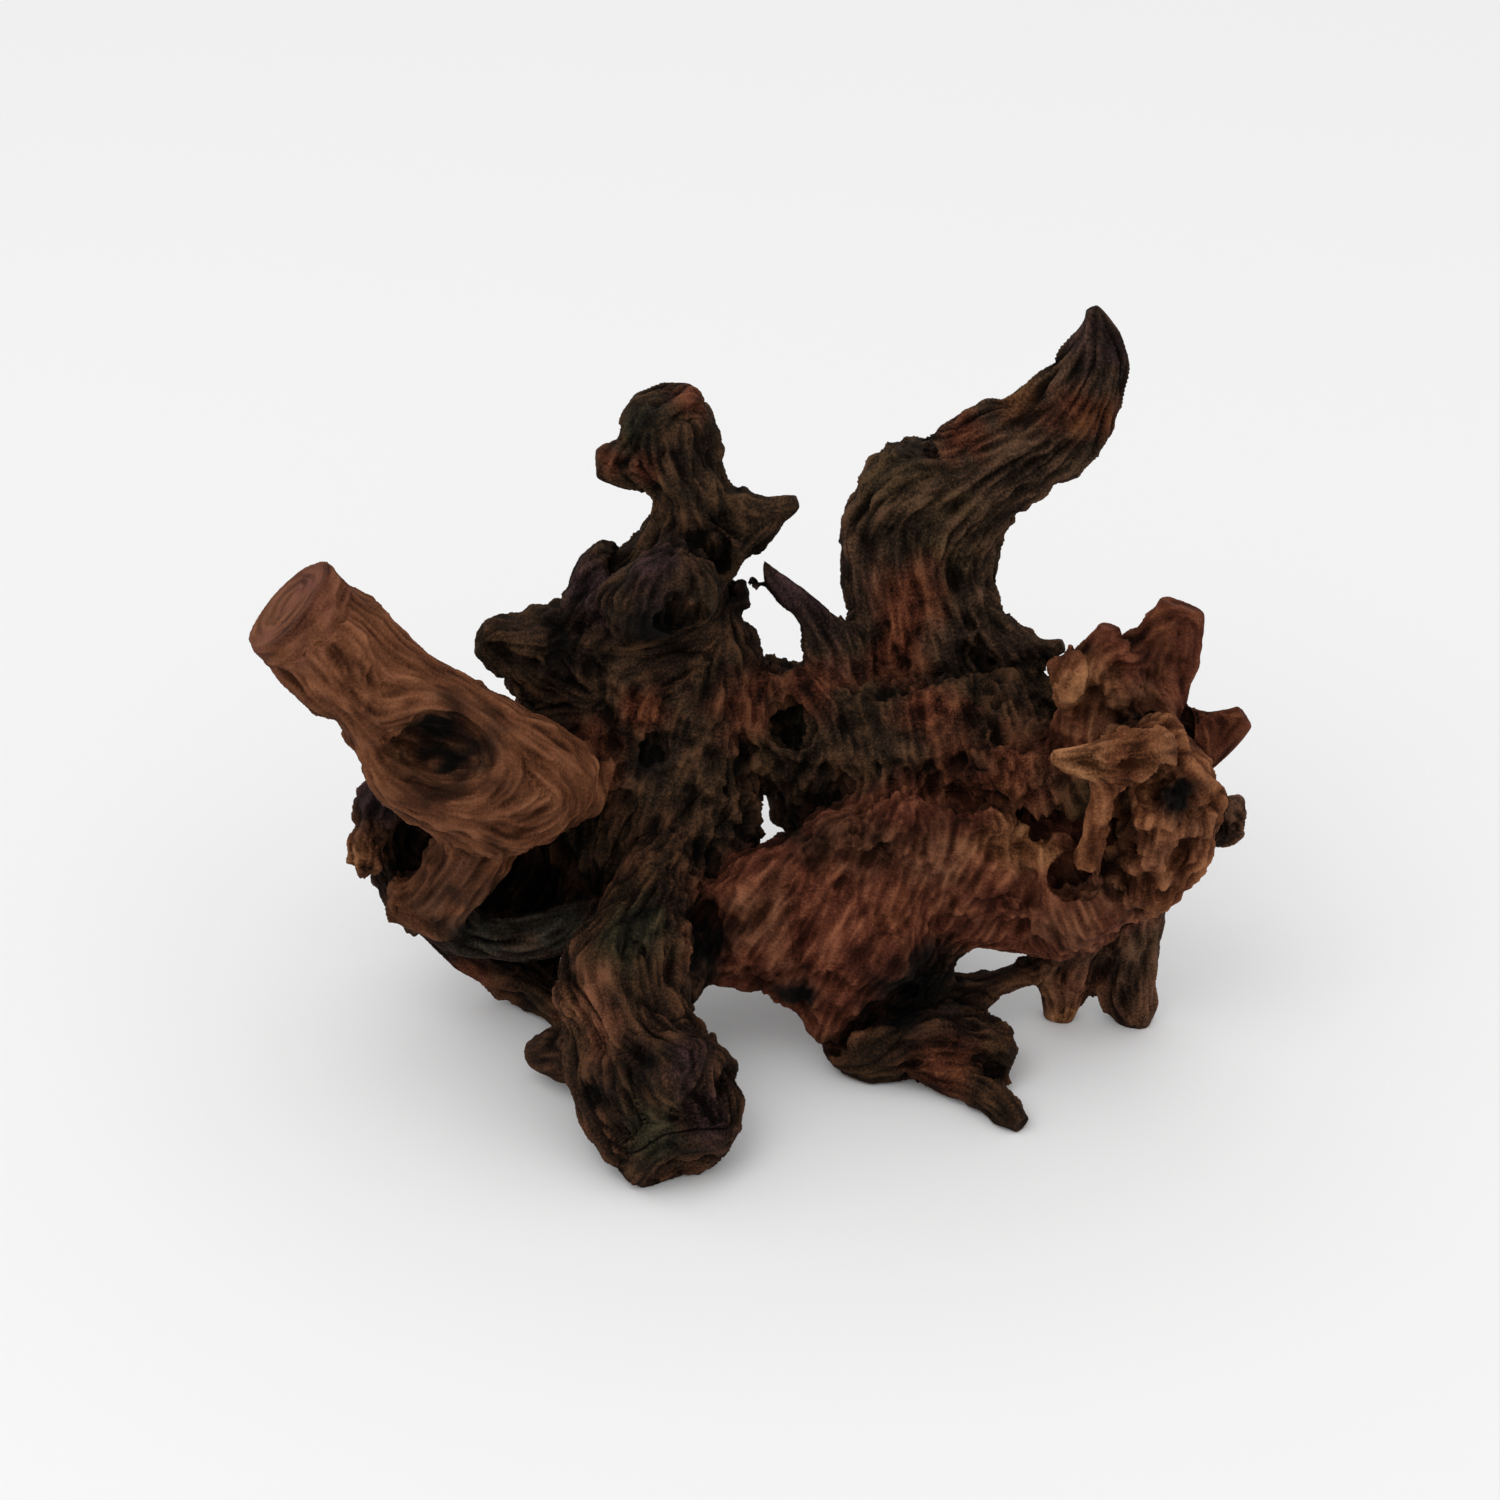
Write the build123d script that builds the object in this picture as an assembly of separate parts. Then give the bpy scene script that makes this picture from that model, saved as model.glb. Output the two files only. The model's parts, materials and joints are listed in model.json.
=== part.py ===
from build123d import *

import os
from math import cos, pi, sin

# Driftwood-style aquarium cave, made of separately cast limbs that are coped on to each
# other and pinned.  Units are millimetres and +Z is up.  While it is being built, the
# floor is z = 0, +X runs along the length of the ornament and -Y is its front.
#
# Every limb is a loft through stations along its own centreline.  A station is
# (x, y, z, across, deep): the centre of the section, its half-width at right angles to
# both the limb and the limb's facing direction, and its half-width towards that facing.
# The first station of a limb lies inside the limb that carries it.

# ---------------------------------------------------------------- driving dimensions
PIN_RADIUS = 1.5  # steel pins that tie each limb to the one that carries it
PIN_LENGTH = 14.0
RING_POINTS = 10  # points on the outline of one section
TWO_LOBES = 0.07  # share by which a section is stretched two ways
THREE_LOBES = 0.06  # share by which a section is pulled into three lobes
LOBE_TURN = 0.35  # radians that the lobes turn from one station to the next
SHELL_CENTRE = (-76, 26, 46)  # middle of the mouth of the cave shell
SHELL_RADIUS = 33.0
SHELL_WALL = 6.0
FLOOR_SIZE = 600.0  # side of the block that trims the feet flat at z = 0

FRONT = (0, 1, 0)  # for limbs that rise or run sideways
ABOVE = (0, 0, 1)  # for limbs and hollows that run from front to back

# ---------------------------------------------------------------- the limbs
# name: (limb that carries it, facing, lobe phase, stations)
LIMBS = {
    # The two halves of the dark trunk.
    "trunk_left": (None, FRONT, 0.3, [
        (-30, 45, 136, 9, 9), (-30, 43, 126, 27, 16), (-33, 42, 110, 38, 22),
        (-31, 38, 87, 33, 24), (-26, 31, 66, 30, 21), (-20, 22, 50, 19, 15)]),
    "trunk_right": ("trunk_left", FRONT, 1.1, [
        (-8, 42, 97, 16, 16), (15, 38, 94, 22, 21), (45, 36, 92, 25, 24),
        (75, 32, 95, 24, 22), (95, 22, 93, 17, 19), (110, 14, 92, 13, 16)]),
    # Upper left: a horn, and the knobbed branch with its knots and spurs.
    "left_horn": ("trunk_left", FRONT, 0.0, [
        (-43, 42, 113, 21, 14), (-62, 40, 120, 14, 11), (-75, 38, 124, 9, 8),
        (-82, 37, 127, 5, 4)]),
    "knob_branch": ("trunk_left", FRONT, 0.8, [
        (-27, 44, 118, 21, 16), (-26, 43, 142, 19, 15), (-20, 44, 163, 13, 12),
        (-20, 45, 180, 12, 11), (-25, 46, 195, 13, 11), (-26, 46, 203, 9, 9)]),
    "side_knot": ("trunk_left", FRONT, 0.0, [
        (-44, 42, 120, 9, 8), (-45, 40, 137, 9, 8), (-44, 40, 150, 8, 7),
        (-42, 40, 156, 5, 5)]),
    "hollow_knot": ("knob_branch", ABOVE, 0.4, [
        (-25, 36, 147, 14, 13), (-26, 24, 149, 16, 14), (-26, 15, 150, 13, 12)]),
    "left_spur": ("knob_branch", FRONT, 0.2, [
        (-24, 46, 185, 11, 8), (-37, 45, 182, 9, 6), (-46, 44, 182, 4, 3)]),
    "right_spur": ("knob_branch", FRONT, 0.2, [
        (-14, 45, 160, 13, 8), (2, 43, 165, 8, 6), (9, 42, 168, 5, 4),
        (14, 41, 171, 2, 2)]),
    # Tall right branch in three castings, and the twigs beside it.
    "tall_branch": ("trunk_right", FRONT, 0.0, [
        (55, 42, 98, 23, 18), (54, 50, 124, 20, 17), (51, 56, 141, 22, 17),
        (54, 60, 156, 21, 17), (66, 62, 172, 18, 16)]),
    "tall_elbow": ("tall_branch", FRONT, 0.6, [
        (60, 60, 163, 17, 15), (80, 61, 181, 17, 15), (95, 61, 188, 14, 12),
        (102, 60, 194, 10, 10)]),
    "tall_tip": ("tall_elbow", FRONT, 0.9, [
        (93, 60, 187, 11, 9), (101, 58, 199, 10, 8), (104, 57, 210, 8, 6),
        (103, 56, 220, 5, 4), (101, 55, 227, 2, 2)]),
    "spike_twig": ("trunk_right", FRONT, 0.5, [
        (42, 41, 106, 10, 8), (33, 41, 118, 10, 8), (24, 40, 125, 8, 7),
        (17, 40, 134, 5, 5), (10, 40, 142, 3, 3), (3, 40, 150, 2, 2)]),
    "side_twig": ("tall_branch", FRONT, 0.0, [
        (64, 46, 116, 14, 10), (75, 42, 119, 13, 9), (84, 39, 121, 7, 6),
        (90, 38, 122, 4, 3), (95, 37, 124, 2, 2)]),
    # Left: the sawn limb, and the ring of roots round the mouth of the cave.
    "sawn_limb": ("trunk_left", FRONT, 0.1, [
        (-46, 26, 84, 9, 10), (-57, 14, 87, 14, 13), (-72, 3, 95, 21, 18),
        (-90, 0, 108, 21, 19), (-105, 0, 125, 17, 16), (-120, 0, 142, 16, 15),
        (-136, -2, 161, 16, 15)]),
    "limb_root": ("sawn_limb", FRONT, 0.3, [
        (-79, 5, 87, 16, 13), (-84, 5, 70, 10, 9), (-90, 6, 59, 8, 8),
        (-95, 8, 50, 9, 8), (-97, 9, 42, 8, 8)]),
    "ring_root": ("sawn_limb", FRONT, 0.0, [
        (-96, 6, 102, 9, 9), (-108, 17, 89, 7, 8), (-113, 24, 77, 6, 8),
        (-115, 26, 65, 6, 8), (-112, 26, 52, 6, 8), (-105, 25, 40, 7, 8),
        (-101, 24, 32, 7, 8)]),
    "rim_root": ("ring_root", FRONT, 0.7, [
        (-105, 26, 41, 6, 6), (-93, 27, 25, 7, 8), (-70, 28, 8, 8, 9),
        (-54, 10, 10, 8, 9), (-42, -12, 16, 8, 8)]),
    "cave_sill": ("limb_root", FRONT, 0.0, [
        (-97, 9, 42, 5, 5), (-90, 10, 37, 6, 5), (-79, 12, 34, 6, 5),
        (-66, 13, 35, 7, 5), (-54, 15, 39, 6, 5), (-40, 18, 48, 5, 5)]),
    # Front foot.
    "front_foot": ("trunk_left", ABOVE, 0.2, [
        (-28, 20, 67, 12, 12), (-32, -2, 56, 14, 14), (-38, -26, 43, 17, 16),
        (-32, -44, 27, 21, 20), (-25, -60, 14, 20, 17), (-21, -72, 7, 13, 12)]),
    "foot_knob": ("front_foot", ABOVE, 0.4, [
        (-28, -42, 16, 10, 10), (-25, -50, 25, 13, 13), (-22, -58, 33, 14, 13),
        (-19, -63, 39, 11, 10), (-18, -66, 43, 6, 5)]),
    "foot_spur": ("front_foot", FRONT, 0.0, [
        (-38, -38, 30, 9, 8), (-49, -28, 20, 9, 8), (-58, -20, 13, 7, 7),
        (-67, -14, 9, 4, 4)]),
    "inner_root": ("trunk_left", FRONT, 0.0, [
        (-16, 22, 56, 10, 10), (-18, 4, 41, 9, 8), (-25, -16, 33, 8, 8)]),
    # The red slab across the front.
    "slab_left": ("trunk_right", FRONT, 0.5, [
        (44, 26, 88, 13, 13), (40, 12, 71, 22, 15), (31, 3, 55, 26, 17),
        (26, -2, 38, 24, 17), (25, -3, 23, 17, 14), (25, -4, 9, 8, 10)]),
    "slab_lobe": ("slab_left", FRONT, 0.9, [
        (22, 4, 56, 18, 13), (7, 2, 52, 17, 15), (0, 0, 41, 18, 14),
        (4, 0, 30, 12, 10)]),
    "slab_right": ("slab_left", FRONT, 0.9, [
        (40, 10, 70, 15, 12), (63, 8, 66, 23, 17), (81, 7, 60, 24, 18),
        (99, 4, 58, 22, 17), (112, 1, 59, 15, 13), (119, 1, 59, 8, 8)]),
    # Right: the pitted knot, its cap and strut, the fins and the stub.
    "pitted_knot": ("slab_right", FRONT, 0.4, [
        (115, -2, 59, 9, 9), (121, -5, 70, 12, 13), (125, -5, 83, 13, 15),
        (123, -5, 99, 15, 15), (118, -5, 113, 12, 10), (116, -5, 120, 6, 5)]),
    "pale_cap": ("pitted_knot", FRONT, 0.0, [
        (119, -12, 113, 9, 8), (112, -20, 117, 8, 7), (100, -23, 118, 6, 5),
        (88, -24, 120, 2, 3)]),
    "pale_strut": ("pale_cap", FRONT, 0.0, [
        (105, -22, 116, 6, 5), (103, -21, 101, 4, 4), (101, -18, 86, 4, 4),
        (99, -11, 70, 6, 6)]),
    "large_fin": ("trunk_right", FRONT, 0.0, [
        (109, 14, 95, 15, 10), (114, 15, 108, 18, 9), (117, 15, 122, 16, 8),
        (123, 17, 135, 12, 6), (128, 18, 148, 7, 4)]),
    "small_fin": ("trunk_right", FRONT, 0.0, [
        (102, 12, 98, 12, 8), (103, 10, 110, 12, 7), (104, 10, 122, 9, 6),
        (105, 11, 134, 6, 5), (106, 12, 144, 3, 3)]),
    "thorn_fin": ("large_fin", FRONT, 0.0, [
        (118, 16, 102, 15, 8), (130, 18, 100, 15, 8), (140, 18, 104, 9, 5),
        (149, 18, 110, 4, 3)]),
    "right_stub": ("pitted_knot", FRONT, 0.0, [
        (122, 4, 80, 9, 9), (134, 9, 79, 8, 8), (144, 12, 78, 8, 7),
        (150, 12, 78, 6, 6)]),
    # Right legs and foot.
    "short_leg": ("slab_right", FRONT, 0.0, [
        (103, 6, 50, 9, 8), (101, 15, 31, 9, 8), (98, 20, 13, 7, 7),
        (97, 20, -2, 4, 5)]),
    "long_leg": ("pitted_knot", FRONT, 0.0, [
        (118, 0, 65, 8, 8), (119, 6, 50, 8, 7), (119, 14, 32, 8, 7),
        (119, 18, 14, 7, 7), (121, 18, -2, 5, 5)]),
    "back_root": ("slab_right", FRONT, 0.3, [
        (53, 10, 58, 12, 9), (51, 6, 40, 12, 9), (48, -6, 18, 10, 9)]),
    "right_foot": ("slab_left", FRONT, 0.5, [
        (27, -8, 14, 9, 9), (37, -12, 11, 12, 12), (54, -12, 13, 13, 13),
        (70, -12, 10, 11, 11), (79, -12, 8, 8, 8)]),
    "foot_spike": ("right_foot", FRONT, 0.0, [
        (52, -18, 9, 7, 7), (65, -26, 7, 6, 6), (75, -35, 5, 5, 5),
        (82, -43, 3, 3, 3)]),
    "cross_root": ("right_foot", FRONT, 0.0, [
        (57, -4, 15, 8, 8), (67, 6, 16, 6, 6), (80, 14, 17, 4, 4),
        (94, 19, 18, 4, 4)]),
    # Behind: the root that stops the ornament from tipping back.
    "rear_root": ("trunk_right", FRONT, 0.5, [
        (24, 44, 84, 15, 13), (22, 56, 62, 15, 12), (28, 68, 37, 13, 11),
        (36, 80, 12, 12, 12), (40, 86, -2, 11, 11)]),
}

# ---------------------------------------------------------------- holes and hollows
# name: (facing, lobe phase, stations), cut into every limb that they reach
HOLLOWS = {
    "sawn_limb_hollow": (ABOVE, 0.6, [
        (-91, -27, 121, 22, 16), (-91, -15, 115, 18, 13), (-92, -4, 109, 11, 8)]),
    "trunk_knot_hole": (ABOVE, 0.2, [
        (12, 13, 111, 8, 11), (12, 24, 105, 7, 9), (13, 33, 100, 4, 5)]),
    "trunk_pit": (ABOVE, 0.0, [
        (-30, 10, 102, 4, 5), (-30, 20, 97, 3, 4), (-30, 28, 93, 3, 3)]),
    "knot_hollow": (ABOVE, 0.5, [
        (-20, 8, 149, 9, 7), (-20, 18, 144, 8, 6), (-20, 27, 140, 4, 3)]),
    "slab_hole": (ABOVE, 0.1, [
        (97, -20, 75, 7, 8), (97, -9, 69, 6, 7), (97, 0, 64, 4, 4)]),
    "knot_pit": (ABOVE, 0.3, [
        (122, -26, 111, 10, 7), (122, -15, 106, 8, 5), (122, -6, 101, 4, 3)]),
    "cave_light": (ABOVE, 0.0, [
        (-69, 38, 54, 4, 4), (-69, 52, 46, 4, 4), (-69, 68, 37, 4, 4)]),
}


# ---------------------------------------------------------------- geometry
def outline(centre, along, facing, across, deep, phase):
    """Return one closed lobed section, square to the limb's centreline."""
    side = along.cross(Vector(*facing)).normalized()
    plane = Plane(origin=centre, x_dir=side, z_dir=-along)
    points = []
    for index in range(RING_POINTS):
        angle = 2 * pi * index / RING_POINTS
        swell = 1 + TWO_LOBES * cos(2 * angle + phase) + THREE_LOBES * cos(3 * angle + 2 * phase)
        points.append((across * swell * cos(angle), deep * swell * sin(angle)))
    return plane * make_face(Spline(*points, periodic=True))


def root_form(facing, phase, stations):
    """Return the whole solid through a list of stations."""
    centres = [Vector(*station[:3]) for station in stations]
    last = len(stations) - 1
    sections = []
    for index, (_, _, _, across, deep) in enumerate(stations):
        before = centres[max(index - 1, 0)]
        after = centres[min(index + 1, last)]
        along = (after - before).normalized()
        turned = phase + LOBE_TURN * index
        sections.append(outline(centres[index], along, facing, across, deep, turned))
    return loft(sections)


def cave_shell():
    """Return the dish that closes the back of the cave, with its mouth to the front."""
    bowl = Rot(90, 0, 0) * (Sphere(SHELL_RADIUS) - Sphere(SHELL_RADIUS - SHELL_WALL))
    front = Pos(0, -SHELL_RADIUS, 0) * Box(2 * SHELL_RADIUS, 2 * SHELL_RADIUS, 2 * SHELL_RADIUS)
    return Pos(*SHELL_CENTRE) * (bowl - front)


def reach_each_other(one, other):
    """Tell whether the boxes of two shapes overlap."""
    a, b = one.bounding_box(optimal=False), other.bounding_box(optimal=False)
    return (
        a.min.X < b.max.X and b.min.X < a.max.X
        and a.min.Y < b.max.Y and b.min.Y < a.max.Y
        and a.min.Z < b.max.Z and b.min.Z < a.max.Z)


def cut(piece, tools):
    """Cut out the tools that reach a piece and keep the largest solid that is left."""
    near = [tool for tool in tools if reach_each_other(piece, tool)]
    if not near:
        return piece
    return max(piece.cut(*near).solids(), key=lambda solid: solid.volume)


def joint_place(stations, carrier):
    """Return where a limb's centreline leaves its carrier, and the direction there."""
    for start, end in zip(stations, stations[1:]):
        inside, outside = Vector(*start[:3]), Vector(*end[:3])
        if carrier.is_inside(outside):
            continue
        along = (outside - inside).normalized()
        while (outside - inside).length > 0.5:
            middle = (inside + outside) * 0.5
            if carrier.is_inside(middle):
                inside = middle
            else:
                outside = middle
        return inside, along
    raise ValueError("a limb never leaves the one that carries it")


def pin(stations, carrier):
    """Return the steel pin that crosses the joint between a limb and its carrier."""
    centre, along = joint_place(stations, carrier)
    return Plane(origin=centre, z_dir=along) * Cylinder(PIN_RADIUS, PIN_LENGTH)


# ---------------------------------------------------------------- assembly
whole = {}
pieces = {}
for name, (carrier, facing, phase, stations) in LIMBS.items():
    limb = root_form(facing, phase, stations)
    pieces[name] = cut(limb, whole.values())
    whole[name] = limb
pieces["cave_shell"] = cut(cave_shell(), whole.values())

below_floor = Pos(0, 0, -FLOOR_SIZE / 2) * Box(FLOOR_SIZE, FLOOR_SIZE, FLOOR_SIZE)
hollows = [root_form(*hollow) for hollow in HOLLOWS.values()]
pins = [pin(limb[3], whole[limb[0]]) for limb in LIMBS.values() if limb[0]]
for name in pieces:
    pieces[name] = cut(pieces[name], [below_floor] + hollows + pins)

# The origin is the middle of the ornament's box, on the floor.
box = Compound(list(pieces.values())).bounding_box()
to_origin = Pos(-(box.min.X + box.max.X) / 2, -(box.min.Y + box.max.Y) / 2, 0)
pieces["locating_pins"] = Compound([each.solid() for each in pins])
os.makedirs("parts", exist_ok=True)
for name, piece in pieces.items():
    export_step(to_origin * piece, f"parts/{name}.step")
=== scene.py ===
import json
import math

import bpy
import numpy as np
import openvdb as vdb
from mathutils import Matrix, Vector


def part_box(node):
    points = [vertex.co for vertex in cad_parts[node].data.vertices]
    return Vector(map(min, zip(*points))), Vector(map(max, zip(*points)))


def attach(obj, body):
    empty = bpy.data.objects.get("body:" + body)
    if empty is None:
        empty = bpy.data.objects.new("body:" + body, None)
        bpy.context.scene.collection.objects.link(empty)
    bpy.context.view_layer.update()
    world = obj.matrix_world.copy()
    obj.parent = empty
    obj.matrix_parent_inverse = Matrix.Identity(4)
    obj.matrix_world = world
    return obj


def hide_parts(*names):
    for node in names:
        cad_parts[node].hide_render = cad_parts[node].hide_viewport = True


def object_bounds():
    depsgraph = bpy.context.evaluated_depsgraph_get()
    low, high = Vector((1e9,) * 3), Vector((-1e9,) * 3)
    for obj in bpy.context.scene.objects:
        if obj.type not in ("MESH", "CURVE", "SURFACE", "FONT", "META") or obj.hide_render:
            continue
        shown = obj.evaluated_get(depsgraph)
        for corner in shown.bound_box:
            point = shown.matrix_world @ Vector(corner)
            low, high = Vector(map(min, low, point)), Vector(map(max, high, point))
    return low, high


# The ornament's castings are sculpted here from their CAD solids.  Each solid becomes a
# distance field, neighbouring fields flow into each other, and every casting is cut back
# out of the common surface along an uneven joint line.  Fibres then follow the direction
# in which the wood would grow.  All lengths are in metres.

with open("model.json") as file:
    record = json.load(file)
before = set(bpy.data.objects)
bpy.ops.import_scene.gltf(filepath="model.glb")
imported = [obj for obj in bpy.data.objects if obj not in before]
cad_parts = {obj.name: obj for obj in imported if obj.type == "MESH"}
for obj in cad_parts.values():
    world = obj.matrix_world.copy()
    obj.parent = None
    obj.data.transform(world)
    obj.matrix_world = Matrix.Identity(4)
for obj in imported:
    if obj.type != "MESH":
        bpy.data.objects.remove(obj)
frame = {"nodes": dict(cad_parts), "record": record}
cad_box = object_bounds()

MM = 0.001
VOXEL = 0.8 * MM
BAND = 11  # voxels of distance kept on each side of a surface
REACH = BAND * VOXEL
BLEND = 1.2 * MM  # how far neighbouring castings flow into each other
FILLET = 4  # voxels each way of the averaging that rounds the inner corners
MARGIN = 14 * VOXEL  # room round the CAD box for bulges
LAP = 0.5 * MM  # how far a casting reaches past its joint line, under its neighbour
WANDER_HEIGHT = 0.7 * MM  # how far a joint line strays from the CAD joint
WANDER_SIZE = 9 * MM
LUMP_HEIGHT = 1.2 * MM  # soft lumps all over
LUMP_SIZE = 13 * MM
KNOB_HEIGHT = 0.9 * MM  # smaller knobs between them
KNOB_SIZE = 6.5 * MM
FILLET_EASE = 0.8 * MM  # how gradually one surface turns into another
LUMP_EASE = 3 * MM
HOLLOW_EASE = 2 * MM
PIN_EASE = 1.5 * MM
PIN_COVER = 1.2 * MM  # resin over a hidden pin, before the relief
SAW_REACH = 26 * MM  # how far round its place a saw cut reaches
THIN_SHIFT = 2.2 * MM  # the averaging moves the surface of a thin tip by more than this
THIN_SHARE = 0.12  # share of the relief that thin tips and sawn faces keep
DEEPEST_CRACK = 1.6 * MM

HIDDEN = ("locating_pins",)


# ---------------------------------------------------------------- distance fields
class Grid:
    """The block of voxels that holds the whole ornament."""

    def __init__(self, low, high):
        self.first = np.floor((np.array(low) - MARGIN) / VOXEL).astype(int)
        self.shape = tuple(np.ceil((np.array(high) + MARGIN) / VOXEL).astype(int) - self.first)

    def window(self, low, high):
        """Return the slices of the voxels round a box."""
        start = np.floor((np.array(low) - REACH) / VOXEL).astype(int) - self.first
        stop = np.ceil((np.array(high) + REACH) / VOXEL).astype(int) + 1 - self.first
        start = np.clip(start, 0, self.shape)
        stop = np.clip(stop, 0, self.shape)
        return tuple(slice(int(a), int(b)) for a, b in zip(start, stop))

    def corner(self, window):
        """Return the voxel index, counted from the world's origin, where a window starts."""
        return tuple(int(f + s.start) for f, s in zip(self.first, window))

    def offsets(self, window, centre):
        """Return how far a window's voxels are from a place along each axis, ready to combine."""
        away = [
            (first + np.arange(span.start, span.stop)) * VOXEL - place
            for first, span, place in zip(self.first, window, centre)]
        return away[0][:, None, None], away[1][None, :, None], away[2][None, None, :]


def mesh_arrays(obj):
    """Return an object's vertices and triangles as arrays."""
    mesh = obj.data
    mesh.calc_loop_triangles()
    points = np.empty(len(mesh.vertices) * 3, np.float32)
    mesh.vertices.foreach_get("co", points)
    triangles = np.empty(len(mesh.loop_triangles) * 3, np.int32)
    mesh.loop_triangles.foreach_get("vertices", triangles)
    return points.reshape(-1, 3), triangles.reshape(-1, 3)


def distance_field(grid, obj):
    """Return a node's window and its signed distance there, in metres, negative inside."""
    points, triangles = mesh_arrays(obj)
    window = grid.window(points.min(0), points.max(0))
    transform = vdb.createLinearTransform(voxelSize=VOXEL)
    field = vdb.FloatGrid.createLevelSetFromPolygons(
        points, triangles=triangles.astype(np.uint32), transform=transform, halfWidth=BAND)
    values = np.empty([s.stop - s.start for s in window], np.float32)
    field.copyToArray(values, ijk=grid.corner(window))
    return window, values


def spline_matrix(place, period):
    """Return the cubic spline weights of a repeating row of values at places along it."""
    base = np.floor(place).astype(int)
    t = (place - base).astype(np.float32)
    weights = np.stack([
        (1 - t) ** 3, 3 * t ** 3 - 6 * t ** 2 + 4, -3 * t ** 3 + 3 * t ** 2 + 3 * t + 1, t ** 3],
        axis=1) / 6
    matrix = np.zeros((len(place), period), np.float32)
    for step in range(4):
        np.add.at(matrix, (np.arange(len(place)), (base + step) % period), weights[:, step])
    return matrix


def smooth_noise(grid, cell, window=None, seed=0):
    """Return smooth noise of unit spread over voxels, with bumps about one cell wide."""
    window = window or tuple(slice(0, n) for n in grid.shape)
    period = 48
    spline_spread = 0.32  # spread of the smoothed values before they are scaled
    values = np.random.default_rng(seed).standard_normal((period,) * 3).astype(np.float32)
    for axis in range(3):
        voxels = int(grid.first[axis]) + np.arange(window[axis].start, window[axis].stop)
        matrix = spline_matrix(voxels * VOXEL / cell, period)
        values = np.moveaxis(np.tensordot(matrix, values, axes=(1, axis)), 0, axis)
    return values / spline_spread


def blurred(field):
    """Return a field averaged over the voxels nearby, three times over."""
    width = 2 * FILLET + 1
    for axis in (0, 1, 2) * 3:
        field = np.moveaxis(field, axis, 0)
        padded = np.concatenate([field[:1]] * (FILLET + 1) + [field] + [field[-1:]] * FILLET)
        total = np.cumsum(padded, axis=0, dtype=np.float32)
        field = np.moveaxis((total[width:] - total[:-width]) / width, 0, axis)
    return field


def soft_union(a, b, spread):
    """Return the smaller of two fields, eased where they are about equal."""
    near = np.clip(0.5 + 0.5 * (b - a) / spread, 0, 1)
    return b + (a - b) * near - spread * near * (1 - near)


class Body:
    """The common surface of all the castings, and who owns which part of it."""

    def __init__(self, nodes):
        self.grid = Grid(*cad_box)
        shape = self.grid.shape
        overlap = np.zeros(shape, np.float32)
        self.nearest = np.full(shape, REACH, np.float32)
        self.second = np.full(shape, REACH, np.float32)
        self.owner = np.full(shape, -1, np.int8)
        self.fields = {}
        self.pins = [distance_field(self.grid, frame["nodes"][name]) for name in HIDDEN]
        faded = math.exp(-REACH / BLEND)
        for index, (name, obj) in enumerate(nodes.items()):
            window, distance = distance_field(self.grid, obj)
            overlap[window] += np.maximum(np.exp(-distance / BLEND) - faded, 0)
            wander = smooth_noise(self.grid, WANDER_SIZE, window, seed=100 + index)
            distance = distance + WANDER_HEIGHT * wander
            self.fields[name] = (index, window, distance)
            near, second, owner = self.nearest[window], self.second[window], self.owner[window]
            closer = distance < near
            second[:] = np.where(closer, near, np.minimum(second, distance))
            owner[closer] = index
            near[:] = np.minimum(near, distance)
        self.surface = np.where(
            overlap > faded, -BLEND * np.log(np.maximum(overlap, faded)), REACH).astype(np.float32)
        self.surface = np.maximum(self.surface, -REACH)
        averaged = blurred(self.surface)
        thinness = (averaged - self.surface) / THIN_SHIFT
        self.sturdy = np.clip(1.15 - thinness, THIN_SHARE, 1).astype(np.float16)
        self.surface = soft_union(self.surface, averaged, FILLET_EASE)

    def share(self, name):
        """Return one casting's window and its own field, cut at the joint lines."""
        index, window, distance = self.fields[name]
        rival = np.where(self.owner[window] == index, self.second[window], self.nearest[window])
        return window, np.maximum(self.surface[window], (distance - rival) / 2 - LAP)


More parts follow.
